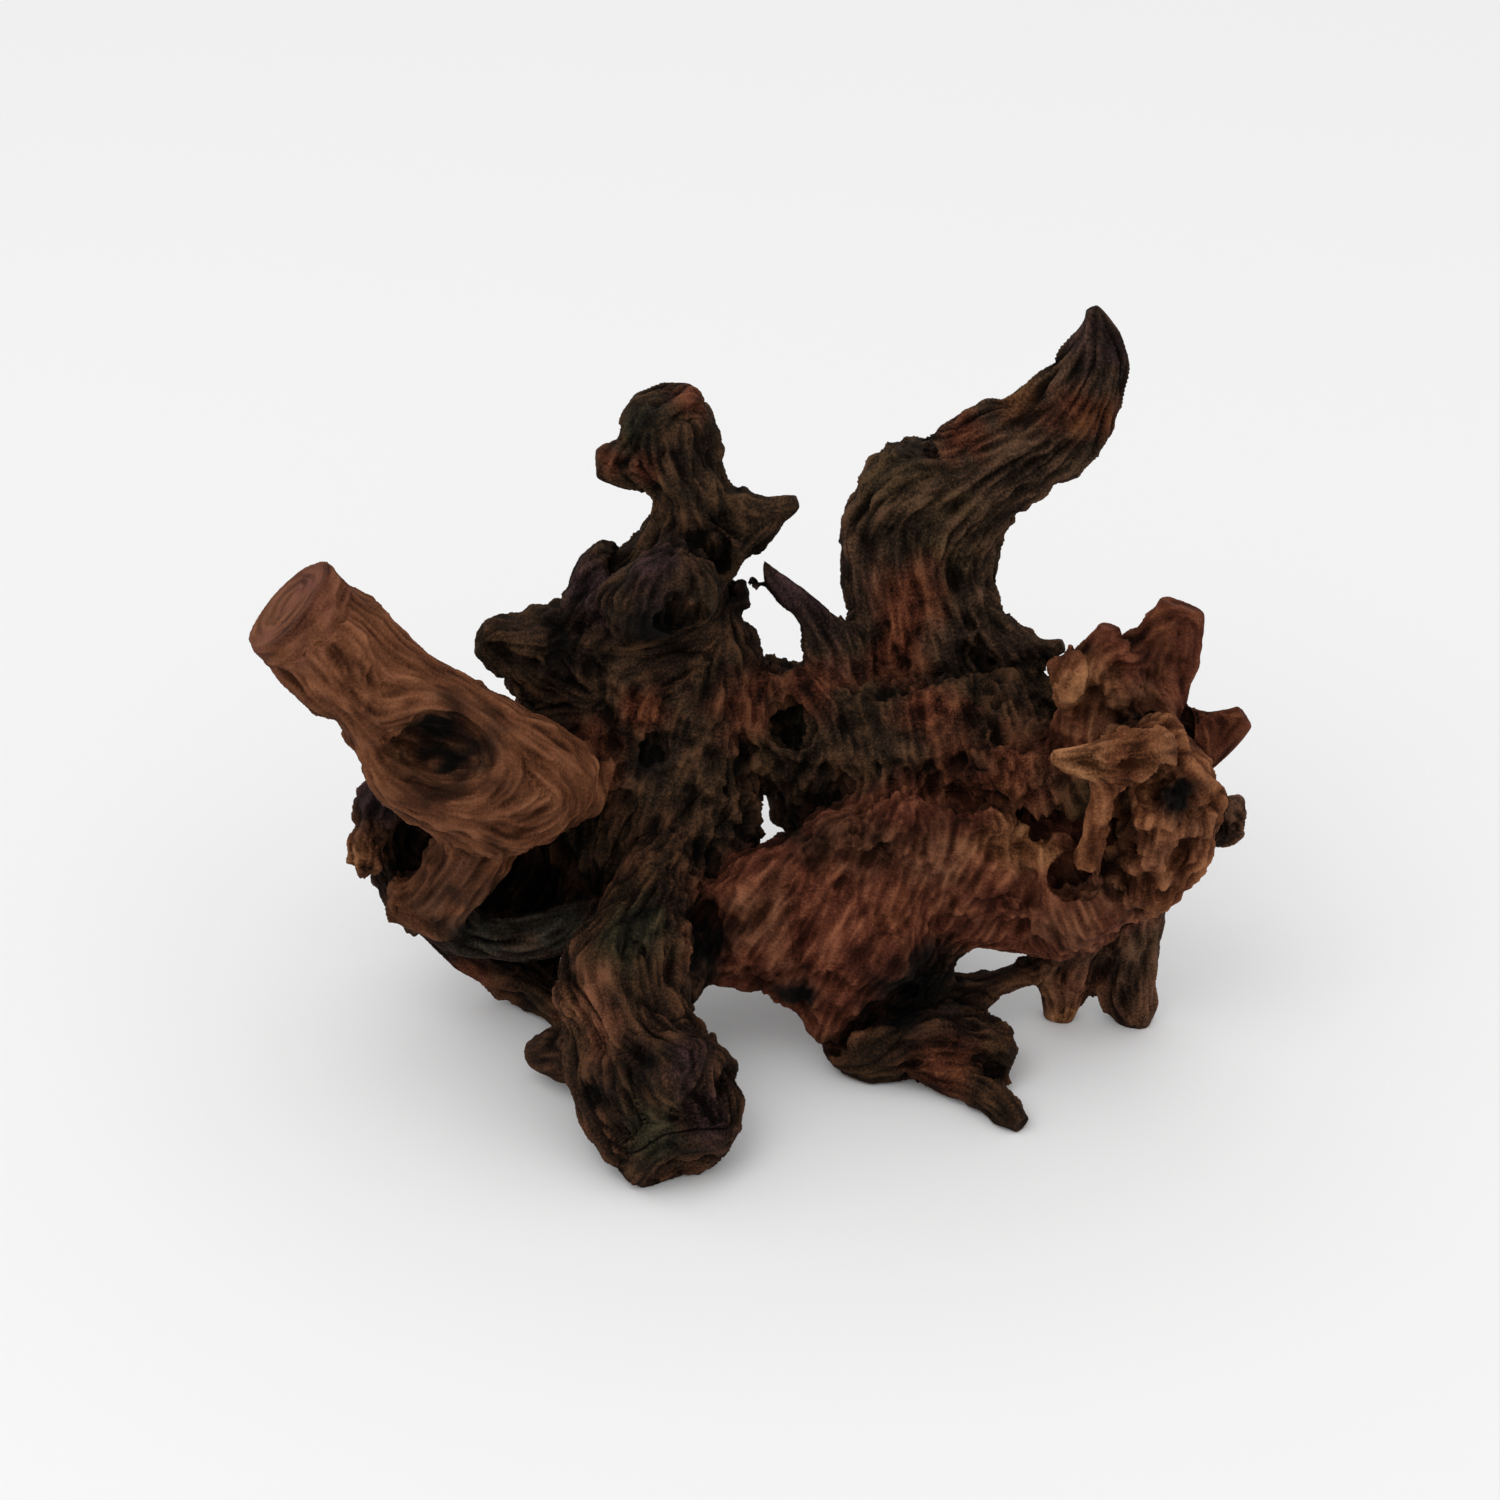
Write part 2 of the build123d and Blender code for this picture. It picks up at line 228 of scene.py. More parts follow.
# ---------------------------------------------------------------- sculpting
# Extra lumps (+1) and hollows (-1): node, place in its box, half sizes in mm, sign.
SCULPT = [
    ("ring_root", (0.10, 0.45, 0.45), (4, 6, 8), 1),
    ("limb_root", (0.20, 0.60, 0.10), (9, 6, 5), 1),
    ("limb_root", (0.02, 0.65, 0.20), (6, 5, 5), 1),
    ("slab_left", (0.42, 0.42, 0.88), (10, 8, 6), 1),
    ("slab_left", (0.78, 0.45, 0.93), (9, 8, 6), 1),
    ("slab_right", (0.40, 0.30, 0.90), (9, 7, 5), 1),
    ("small_fin", (0.25, 0.10, 0.62), (4, 3, 9), 1),
    ("small_fin", (0.85, 0.35, 0.40), (9, 5, 14), 1),
    ("large_fin", (0.35, 0.35, 0.50), (12, 5, 14), 1),
    ("front_foot", (0.14, 0.45, 0.56), (8, 8, 8), 1),
    ("front_foot", (0.46, 0.50, 0.82), (7, 5, 9), -1),
    ("tall_branch", (0.62, 0.05, 0.62), (5, 5, 16), -1),
    ("trunk_left", (0.62, 0.15, 0.86), (13, 8, 9), -1),
    ("trunk_right", (0.55, 0.12, 0.45), (13, 6, 6), -1),
    ("trunk_right", (0.70, 0.12, 0.58), (15, 6, 9), 1),
    ("knob_branch", (1.02, 0.40, 0.30), (6, 9, 13), -1),
    ("spike_twig", (-0.06, 0.50, 0.89), (5, 12, 7), -1),
    ("pitted_knot", (0.35, 0.05, 0.75), (5, 6, 5), -1),
    ("pitted_knot", (0.75, 0.10, 0.62), (4, 5, 4), -1),
    ("pitted_knot", (0.55, 0.03, 0.38), (4, 5, 6), -1),
    ("slab_right", (0.52, 0.10, 0.55), (5, 5, 7), -1),
    ("pitted_knot", (0.05, 0.80, 0.42), (8, 6, 11), 1),
    ("slab_left", (0.44, 0.25, 0.08), (8, 7, 8), 1),
]

# Saw cuts: node, place in its box, the way that the cut faces.
FLAT_CUTS = [("sawn_limb", (0.130, 0.31, 0.87), (-0.642, -0.080, 0.763))]


def in_box(node, fractions):
    """Return a place given as fractions of a CAD node's box."""
    low, high = (np.array(corner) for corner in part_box(node))
    return low + (high - low) * np.array(fractions)


def cut_flat(body, place, facing):
    """Saw the surface off flat at a place, on the side that it faces."""
    window = body.grid.window(place - SAW_REACH, place + SAW_REACH)
    x, y, z = body.grid.offsets(window, place)
    past_cut = facing[0] * x + facing[1] * y + facing[2] * z
    body.surface[window] = np.maximum(body.surface[window], past_cut.astype(np.float32))


def sculpt(body):
    """Add lumps and hollows to the common surface."""
    grid = body.grid
    for node, fractions, sizes, sign in SCULPT:
        centre = in_box(node, fractions)
        radii = np.array(sizes) * MM
        window = grid.window(centre - radii, centre + radii)
        x, y, z = grid.offsets(window, centre)
        size = np.sqrt((x / radii[0]) ** 2 + (y / radii[1]) ** 2 + (z / radii[2]) ** 2)
        blob = ((size - 1) * radii.min()).astype(np.float32)
        if sign > 0:
            body.surface[window] = soft_union(body.surface[window], blob, LUMP_EASE)
        else:
            body.surface[window] = -soft_union(-body.surface[window], blob, HOLLOW_EASE)
    lumps = smooth_noise(grid, LUMP_SIZE, seed=1)
    knobs = smooth_noise(grid, KNOB_SIZE, seed=2)
    body.surface += body.sturdy * (LUMP_HEIGHT * lumps + KNOB_HEIGHT * (np.abs(knobs) - 0.8))
    for node, fractions, facing in FLAT_CUTS:
        cut_flat(body, in_box(node, fractions), facing)
    for window, distance in body.pins:
        body.surface[window] = soft_union(body.surface[window], distance - PIN_COVER, PIN_EASE)


def extract(body, name):
    """Return one casting's surface as points and quads."""
    window, field = body.share(name)
    low = body.grid.corner(window)
    height = np.arange(low[2], low[2] + field.shape[2]) * VOXEL
    field = np.maximum(field, -height)
    volume = vdb.FloatGrid(background=REACH)
    volume.copyFromArray(field.astype(np.float32), ijk=low)
    volume.transform = vdb.createLinearTransform(voxelSize=VOXEL)
    points, quads = volume.convertToQuads(isovalue=0.0)
    return divided(np.asarray(points, np.float32), np.asarray(quads, np.int32))


def divided(points, quads):
    """Return the mesh with every quad split in four."""
    count = len(points)
    edges = np.sort(np.stack([quads, np.roll(quads, -1, axis=1)], axis=2).reshape(-1, 2), axis=1)
    keys = edges[:, 0].astype(np.int64) * count + edges[:, 1]
    found, which = np.unique(keys, return_inverse=True)
    middle = (points[found // count] + points[found % count]) / 2
    centre = points[quads].mean(axis=1)
    of_edge = (count + which).reshape(-1, 4)
    of_face = count + len(found) + np.arange(len(quads))
    corners = [
        np.stack([quads[:, k], of_edge[:, k], of_face, of_edge[:, k - 1]], axis=1) for k in range(4)]
    finer = np.concatenate([points, middle, centre])
    return finer.astype(np.float32), np.concatenate(corners).astype(np.int32)


def sample(body, points, field=None, first=0):
    """Return a field at points, between voxels; the common surface's if none is given."""
    field = body.surface if field is None else field
    place = points / VOXEL - body.grid.first - first
    limit = np.array(field.shape) - 2
    base = np.clip(np.floor(place).astype(int), 0, limit)
    t = np.clip(place - base, 0, 1).astype(np.float32)
    x, y, z = base.T
    tx, ty, tz = t.T
    total = np.zeros(len(points), np.float32)
    for dx in (0, 1):
        wx = tx if dx else 1 - tx
        for dy in (0, 1):
            wy = ty if dy else 1 - ty
            for dz in (0, 1):
                wz = tz if dz else 1 - tz
                total += wx * wy * wz * field[x + dx, y + dy, z + dz]
    return total


def normals(body, points):
    """Return the outward direction of the common surface at points."""
    slope = np.empty_like(points)
    for axis in range(3):
        step = np.zeros(3, np.float32)
        step[axis] = 1.2 * VOXEL
        slope[:, axis] = sample(body, points + step) - sample(body, points - step)
    return slope / np.maximum(np.linalg.norm(slope, axis=1, keepdims=True), 1e-9)


# Where the growth is known better: node, place in its box, reach in mm, direction.
GRAIN = [
    ("slab_left", (0.35, 0.2, 0.55), 26, (0.45, 0.1, 0.9)),
    ("slab_lobe", (0.4, 0.2, 0.5), 20, (0.6, 0.1, 0.8)),
    ("slab_right", (0.35, 0.2, 0.5), 20, (0.5, 0.1, 0.85)),
    ("slab_right", (0.8, 0.2, 0.4), 18, (-0.4, 0.1, 0.9)),
    ("trunk_right", (0.55, 0.3, 0.5), 28, (-0.15, 0.3, 0.95)),
    ("trunk_left", (0.5, 0.3, 0.3), 24, (0.3, 0.1, 0.95)),
    ("hollow_knot", (0.5, 0.2, 0.5), 14, (0.2, 0.2, 0.95)),
]


class Flow:
    """The direction of growth: where the surface's normals change least."""

    CELL = 3 * MM

    def __init__(self, points, normal, low, high):
        self.low = np.array(low) - 4 * self.CELL
        size = np.ceil((np.array(high) - self.low) / self.CELL).astype(int) + 5
        cell = np.floor((points - self.low) / self.CELL).astype(int)
        flat = np.ravel_multi_index(cell.T, size)
        tensor = np.empty((*size, 3, 3), np.float32)
        for row in range(3):
            for column in range(3):
                weight = normal[:, row] * normal[:, column]
                tensor[..., row, column] = np.bincount(
                    flat, weight, int(np.prod(size))).reshape(size)
        for _ in range(10):
            for axis in range(3):
                tensor = 0.5 * tensor + 0.25 * (np.roll(tensor, 1, axis) + np.roll(tensor, -1, axis))
        tensor /= np.maximum(np.trace(tensor, axis1=-2, axis2=-1), 1e-9)[..., None, None]
        for node, fractions, reach, way in GRAIN:
            way = np.array(way, np.float32) / np.linalg.norm(way)
            centre = in_box(node, fractions)
            x, y, z = (self.low[k] + (np.arange(size[k]) + 0.5) * self.CELL - centre[k] for k in range(3))
            square = x[:, None, None] ** 2 + y[None, :, None] ** 2 + z[None, None, :] ** 2
            pull = 1.5 * np.exp(-square / (reach * MM) ** 2).astype(np.float32)
            tensor += pull[..., None, None] * (np.eye(3, dtype=np.float32) - np.outer(way, way))
        _, vectors = np.linalg.eigh(tensor)
        along = vectors[..., 0]
        self.guide = (along[..., :, None] * along[..., None, :]).astype(np.float32)
        self.size = size

    def at(self, points, heading):
        """Return the direction of growth at points, on the side of the heading."""
        cell = np.clip(((points - self.low) / self.CELL).astype(int), 0, self.size - 1)
        guide = self.guide[cell[:, 0], cell[:, 1], cell[:, 2]]
        turned = np.einsum("nij,nj->ni", guide, heading)
        turned = 0.7 * heading + turned
        return turned / np.maximum(np.linalg.norm(turned, axis=1, keepdims=True), 1e-9)

    def start(self, points):
        """Return the direction of growth at points, on either side."""
        cell = np.clip(((points - self.low) / self.CELL).astype(int), 0, self.size - 1)
        guide = self.guide[cell[:, 0], cell[:, 1], cell[:, 2]]
        column = np.argmax(np.einsum("nii->ni", guide), axis=1)
        heading = guide[np.arange(len(points)), :, column]
        return heading / np.maximum(np.linalg.norm(heading, axis=1, keepdims=True), 1e-9)


class NoiseBlock:
    """A repeating block of smooth noise that is quick to look up."""

    SIZE = 96
    FINE = 4  # samples along one bump

    def __init__(self, seed):
        count = self.SIZE // self.FINE
        values = np.random.default_rng(seed).standard_normal((count,) * 3).astype(np.float32)
        matrix = spline_matrix(np.arange(self.SIZE) / self.FINE, count)
        for axis in range(3):
            values = np.moveaxis(np.tensordot(matrix, values, axes=(1, axis)), 0, axis)
        self.values = np.ascontiguousarray(values / values.std())

    def at(self, points, cell):
        """Return the noise at points, with bumps about one cell wide."""
        index = np.floor(points * (self.FINE / cell)).astype(np.int32) % self.SIZE
        return self.values[index[:, 0], index[:, 1], index[:, 2]]


# name: (bump width, steps of the stroke on each side)
STRANDS = {
    "long": (6.5 * MM, 16), "coarse": (3.6 * MM, 11), "medium": (1.9 * MM, 7), "fine": (0.95 * MM, 4)}
STRIDE = 1.5 * MM


def growth_lines(flow, points):
    """Return noise smeared along the direction of growth, one value set per strand size."""
    blocks = {name: NoiseBlock(30 + i) for i, name in enumerate(STRANDS)}
    totals = {name: blocks[name].at(points, STRANDS[name][0]) for name in STRANDS}
    heading = flow.start(points)
    for side in (1, -1):
        place = points.copy()
        way = side * heading
        for step in range(max(steps for _, steps in STRANDS.values())):
            way = flow.at(place, way)
            place = place + STRIDE * way
            for name, (cell, steps) in STRANDS.items():
                if step < steps:
                    totals[name] += blocks[name].at(place, cell) * (1 - step / steps)
    return heading, {name: value / value.std() for name, value in totals.items()}


# ---------------------------------------------------------------- the finish of each slot
# slot: (strands, medium fibres, fine fibres, crumble, pits, cracks), in millimetres of relief
RELIEF = {
    "dark_casting": (0.7, 0.5, 0.32, 1.0, 0.7, 1.2),
    "umber_casting": (1.3, 0.8, 0.36, 0.4, 0.4, 1.6),
    "tan_casting": (0.45, 0.4, 0.22, 0.2, 0.2, 0.8),
    "root_casting": (1.2, 0.8, 0.34, 0.6, 0.5, 1.5),
    "foot_casting": (1.1, 0.8, 0.34, 0.7, 0.7, 1.5),
    "red_casting": (0.25, 0.28, 0.26, 0.85, 0.8, 0.2),
    "ochre_casting": (0.25, 0.3, 0.30, 1.3, 2.2, 0.2),
    "grey_casting": (1.2, 0.9, 0.36, 0.2, 0.2, 1.4),
}


def make_piece(name, points, quads, attributes):
    """Make one casting as a mesh object that carries its surface values."""
    mesh = bpy.data.meshes.new(f"{name}_casting")
    mesh.vertices.add(len(points))
    mesh.vertices.foreach_set("co", points.astype(np.float32).ravel())
    mesh.loops.add(quads.size)
    mesh.loops.foreach_set("vertex_index", quads.ravel())
    mesh.polygons.add(len(quads))
    mesh.polygons.foreach_set("loop_start", np.arange(0, quads.size, 4, dtype=np.int32))
    mesh.update(calc_edges=True)
    mesh.validate()
    mesh.polygons.foreach_set("use_smooth", np.ones(len(mesh.polygons), bool))
    for key, values in attributes.items():
        kind = "FLOAT_COLOR" if values.ndim == 2 else "FLOAT"
        layer = mesh.attributes.new(key, kind, "POINT")
        field = "color" if values.ndim == 2 else "value"
        layer.data.foreach_set(field, values.astype(np.float32).ravel())
    obj = bpy.data.objects.new(f"{name}_casting", mesh)
    bpy.context.scene.collection.objects.link(obj)
    return obj


# ---------------------------------------------------------------- colour
# slot: (middle colour, light colour)
COLOURS = {
    "dark_casting": ((0.024, 0.0135, 0.0076), (0.095, 0.045, 0.022)),
    "umber_casting": ((0.029, 0.016, 0.0096), (0.115, 0.058, 0.032)),
    "tan_casting": ((0.122, 0.043, 0.019), (0.250, 0.099, 0.047)),
    "root_casting": ((0.024, 0.0115, 0.0065), (0.090, 0.038, 0.019)),
    "foot_casting": ((0.026, 0.0125, 0.0070), (0.100, 0.042, 0.020)),
    "red_casting": ((0.090, 0.0245, 0.0125), (0.235, 0.080, 0.040)),
    "ochre_casting": ((0.118, 0.039, 0.016), (0.300, 0.122, 0.052)),
    "grey_casting": ((0.038, 0.0185, 0.0105), (0.140, 0.066, 0.037)),
}
TINTS = {
    "rust": ((0.075, 0.021, 0.010), (0.185, 0.062, 0.028)),
    "clay": ((0.100, 0.036, 0.018), (0.225, 0.090, 0.046)),
    "amber": ((0.140, 0.052, 0.021), (0.320, 0.142, 0.062)),
    "honey": ((0.200, 0.082, 0.034), (0.430, 0.205, 0.095)),
    "rose": ((0.150, 0.050, 0.034), (0.220, 0.085, 0.060)),
    "plum": ((0.020, 0.010, 0.011), (0.070, 0.036, 0.036)),
    "moss": ((0.013, 0.0115, 0.0058), (0.050, 0.040, 0.020)),
    "slate": ((0.026, 0.023, 0.017), (0.085, 0.075, 0.055)),
    # the near-black tint below is painted shade
    "painted_shade": ((0.0045, 0.0035, 0.0028), (0.016, 0.011, 0.008)),
}
# Washes of colour: tint, node, place in its box, reach in mm. The near-black washes are painted shade,
# put into hollows, into the cave and under and behind parts.
WASHES = [
    ("rust", "trunk_left", (0.90, 0.30, 0.72), 11), ("rust", "trunk_right", (0.20, 0.45, 0.94), 9),
    ("rust", "trunk_left", (0.50, 0.24, 0.71), 7), ("rust", "trunk_left", (0.32, 0.26, 0.58), 9),
    ("painted_shade", "hollow_knot", (0.45, 0.05, 0.10), 12), ("moss", "trunk_right", (0.18, 0.50, 0.63), 9),
    ("painted_shade", "trunk_left", (0.54, 0.25, 0.54), 7), ("rust", "tall_branch", (0.37, 0.15, 0.50), 10),
    ("rust", "tall_branch", (0.34, 0.10, 0.28), 9), ("rust", "trunk_right", (0.49, 0.30, 0.87), 9),
    ("rust", "trunk_right", (0.68, 0.12, 0.55), 14), ("rust", "trunk_right", (0.56, 0.17, 0.65), 9),
    ("rust", "knob_branch", (0.68, 0.49, 1.00), 6), ("moss", "knob_branch", (0.38, 0.31, 0.94), 9),
    ("rust", "left_spur", (0.13, 0.17, 0.61), 6), ("rust", "knob_branch", (0.44, 0.25, 0.76), 6),
    ("plum", "side_knot", (0.42, 0.07, 0.51), 10), ("plum", "hollow_knot", (0.49, 0.32, 0.96), 9),
    ("painted_shade", "left_horn", (0.76, 0.10, 0.80), 8), ("plum", "spike_twig", (0.32, 0.23, 0.72), 14),
    ("amber", "tall_elbow", (0.47, 0.35, 0.93), 7), ("rust", "tall_elbow", (0.84, 0.17, 0.88), 9),
    ("rust", "tall_elbow", (0.21, 0.18, 0.76), 8), ("plum", "tall_tip", (0.61, 0.12, 0.70), 9),
    ("clay", "slab_left", (0.46, 0.38, 0.81), 12), ("clay", "slab_lobe", (0.58, 0.13, 0.60), 11),
    ("rust", "slab_left", (0.70, 0.17, 0.58), 12), ("clay", "slab_right", (0.21, 0.18, 0.71), 10),
    ("amber", "slab_right", (0.44, 0.22, 0.82), 10), ("amber", "slab_right", (0.59, 0.20, 0.77), 8),
    ("clay", "slab_right", (0.68, 0.09, 0.32), 13), ("clay", "slab_right", (0.88, 0.10, 0.60), 9),
    ("painted_shade", "slab_right", (0.74, 0.25, 0.62), 6), ("painted_shade", "slab_left", (0.85, 0.20, 0.35), 9),
    ("amber", "small_fin", (0.40, 0.15, 0.65), 11), ("rust", "large_fin", (0.68, 0.38, 0.82), 12),
    ("honey", "small_fin", (0.73, 0.12, 0.45), 8), ("clay", "large_fin", (0.40, 0.20, 0.45), 11),
    ("rust", "thorn_fin", (0.79, 0.29, 0.87), 9), ("honey", "pale_cap", (0.22, 0.10, 0.83), 11),
    ("amber", "pale_cap", (0.84, 0.24, 0.66), 9), ("clay", "pitted_knot", (0.63, 0.08, 0.46), 9),
    ("painted_shade", "pitted_knot", (0.55, 0.15, 0.72), 6), ("clay", "limb_root", (0.39, 0.12, 0.48), 10),
    ("amber", "ring_root", (0.05, 0.40, 0.45), 8), ("plum", "ring_root", (0.35, 0.45, 0.69), 10),
    ("amber", "ring_root", (0.55, 0.30, 0.15), 7), ("slate", "cave_sill", (0.31, 0.20, 0.40), 15),
    ("slate", "cave_sill", (0.62, 0.20, 0.60), 12), ("rust", "rim_root", (0.24, 0.73, 0.30), 10),
    ("rust", "rim_root", (0.60, 0.30, 0.20), 9), ("painted_shade", "sawn_limb", (0.53, 0.34, 0.35), 15),
    ("painted_shade", "sawn_limb", (0.50, 0.30, 0.44), 12),
    ("rose", "sawn_limb", (0.11, 0.35, 0.92), 12), ("rose", "sawn_limb", (0.05, 0.25, 0.86), 11),
    ("moss", "front_foot", (0.46, 0.53, 0.80), 13), ("clay", "front_foot", (0.14, 0.42, 0.59), 9),
    ("clay", "front_foot", (0.26, 0.28, 0.55), 8), ("painted_shade", "foot_knob", (0.11, 0.41, 0.67), 9),
    ("plum", "foot_knob", (0.63, 0.14, 0.73), 9), ("moss", "front_foot", (0.52, 0.06, 0.30), 12),
    ("plum", "front_foot", (0.84, 0.13, 0.32), 9), ("painted_shade", "front_foot", (0.23, 0.19, 0.34), 8),
    ("clay", "short_leg", (0.42, 0.20, 0.25), 15), ("honey", "short_leg", (0.42, 0.40, 0.02), 6),
    ("amber", "long_leg", (0.50, 0.30, 0.04), 6), ("painted_shade", "right_foot", (0.39, 0.39, 0.98), 10),
    ("rust", "foot_spike", (0.26, 0.72, 0.77), 9), ("painted_shade", "slab_left", (0.23, 0.13, 0.24), 8),
    # painted shade: near-black washes fill the cave and darken the inner and back roots and the foot of
    # the right trunk
    ("painted_shade", "cave_shell", (0.50, 0.10, 0.50), 30), ("painted_shade", "inner_root", (0.50, 0.20, 0.50), 14),
    ("painted_shade", "back_root", (0.50, 0.20, 0.50), 14), ("painted_shade", "trunk_right", (0.20, 0.20, 0.15), 12),
]


def slot_weights(body, points, slots):
    """Return how much each slot's finish counts at points; joints are crossed gradually."""
    names = list(RELIEF)
    weights = np.zeros((len(points), len(names)), np.float32)
    drift = {slot: 1.6 * MM * NoiseBlock(80 + i).at(points, 9 * MM) for i, slot in enumerate(names)}
    for name, (_, window, distance) in body.fields.items():
        start = np.array([s.start for s in window])
        place = points / VOXEL - body.grid.first - start
        inside = np.all((place > 0) & (place < np.array(distance.shape) - 1), axis=1)
        near = sample(body, points[inside], distance, start)
        near = np.maximum(near + drift[slots[name]][inside], 0)
        weights[inside, names.index(slots[name])] += np.exp(-near / (1.8 * MM))
    return weights / np.maximum(weights.sum(axis=1, keepdims=True), 1e-6)


def painted(points, weights):
    """Return the middle and light colours at points, washes included."""
    middle = weights @ np.array([COLOURS[slot][0] for slot in RELIEF], np.float32)
    light = weights @ np.array([COLOURS[slot][1] for slot in RELIEF], np.float32)
    ragged = 0.30 * NoiseBlock(90).at(points, 7 * MM) + 0.18 * NoiseBlock(91).at(points, 2.5 * MM)
    for tint, node, fractions, reach in WASHES:
        away = np.linalg.norm(points - in_box(node, fractions), axis=1) / (reach * MM)
        near = away < 2
        spot = 1.35 * np.exp(-away[near] ** 2) - 0.12
        edge = ragged[near] * np.exp(-0.5 * away[near])
        amount = np.clip(spot + edge, 0, 1)[:, None]
        middle[near] += (np.array(TINTS[tint][0]) - middle[near]) * amount
        light[near] += (np.array(TINTS[tint][1]) - light[near]) * amount
    return middle, light


# ---------------------------------------------------------------- the castings
def openness(body, points, normal):
    """Return how much free space is in front of points: about 1 on a crest, 0 in a crevice; the material
    darkens the colour with it as painted shade.
    """
    total = np.zeros(len(points), np.float32)
    for reach in (2.5 * MM, 5 * MM, 8.5 * MM):
        total += np.clip(sample(body, points + normal * reach) / reach, -0.2, 1) / 3
    return total


def relief_at(points, weights, strands, end_grain):
    """Return how far the finish lifts the surface at points, and how cracked it is there."""
    relief = weights @ np.array(list(RELIEF.values()), np.float32) * MM
    cord_height, thread_height, fibre_height, crumb_height, pit_depth, crack_depth = relief.T
    patchy = NoiseBlock(60).at(points, 24 * MM)
    cord = np.minimum(np.abs(strands["coarse"]), 1.6) - 0.8
    thread = np.minimum(np.abs(strands["medium"]), 1.6) - 0.7
    crumble = NoiseBlock(50).at(points, 3.4 * MM) + 0.7 * NoiseBlock(51).at(points, 1.7 * MM)
    pits = np.clip(NoiseBlock(52).at(points, 4.2 * MM) - 0.8, 0, 1.6)
    split = np.exp(-(strands["long"] / 0.16) ** 2) * np.clip(patchy + 0.3, 0, 1)
    split = split * crack_depth / DEEPEST_CRACK
    broken = np.clip((end_grain - 0.6) / 0.3, 0, 1)
    height = (
        cord_height * cord + thread_height * thread + fibre_height * strands["fine"]
        + crumb_height * 0.6 * crumble * np.clip(0.9 - 0.5 * patchy, 0.2, 1.8)
        - pit_depth * 1.6 * pits - DEEPEST_CRACK * split
        + broken * MM * (0.8 * strands["medium"] + 0.7 * strands["coarse"]))
    return height, split


def with_alpha(colours):
    """Return colours with a fourth channel of one."""
    return np.concatenate([colours, np.ones((len(colours), 1), np.float32)], axis=1)


def build_castings(nodes, slots):
    """Sculpt every casting and return its object by node name."""
    body = Body(nodes)
    sculpt(body)
    parts = {name: extract(body, name) for name in nodes}
    points = np.concatenate([part[0] for part in parts.values()])
    normal = normals(body, points)
    depth = sample(body, points)
    shown = np.abs(depth) < 1.5 * VOXEL
    points = points - normal * np.where(shown, depth, 0)[:, None]
    points[:, 2] = np.maximum(points[:, 2], 0)
    weights = slot_weights(body, points, slots)
    middle, light = painted(points, weights)
    sturdy = sample(body, points, body.sturdy)
    for node, fractions, facing in FLAT_CUTS:
        away = points - in_box(node, fractions)
        off_plane = np.abs(away @ np.array(facing, np.float32))
        on_cut = (off_plane < MM) & (np.linalg.norm(away, axis=1) < SAW_REACH - MM)
        sturdy[on_cut] *= THIN_SHARE
    flow = Flow(points[shown], normal[shown], points.min(0), points.max(0))
    along, strands = growth_lines(flow, points)
    end_grain = np.abs(np.einsum("ni,ni->n", along, normal))
    height, split = relief_at(points, weights, strands, end_grain)
    shift = sturdy * height
    skin = np.clip(1 + depth / (1.2 * MM), 0, 1)
    above_floor = np.clip(points[:, 2] / (2 * MM), 0, 1)
    moved = points + normal * (shift * skin * above_floor)[:, None]
    moved[:, 2] = np.maximum(moved[:, 2], 0)
    values = {
        "relief": shift / MM, "strand": strands["medium"], "fibre": strands["fine"],
        "crevice_shade_openness": openness(body, points, normal), "split": split * sturdy,
        "middle": with_alpha(middle), "light": with_alpha(light),
    }
    castings = {}
    start = 0
    for name, (own, quads) in parts.items():
        span = slice(start, start + len(own))
        start += len(own)
        own_values = {key: value[span] for key, value in values.items()}
        castings[name] = make_piece(name, moved[span], quads, own_values)
    return castings


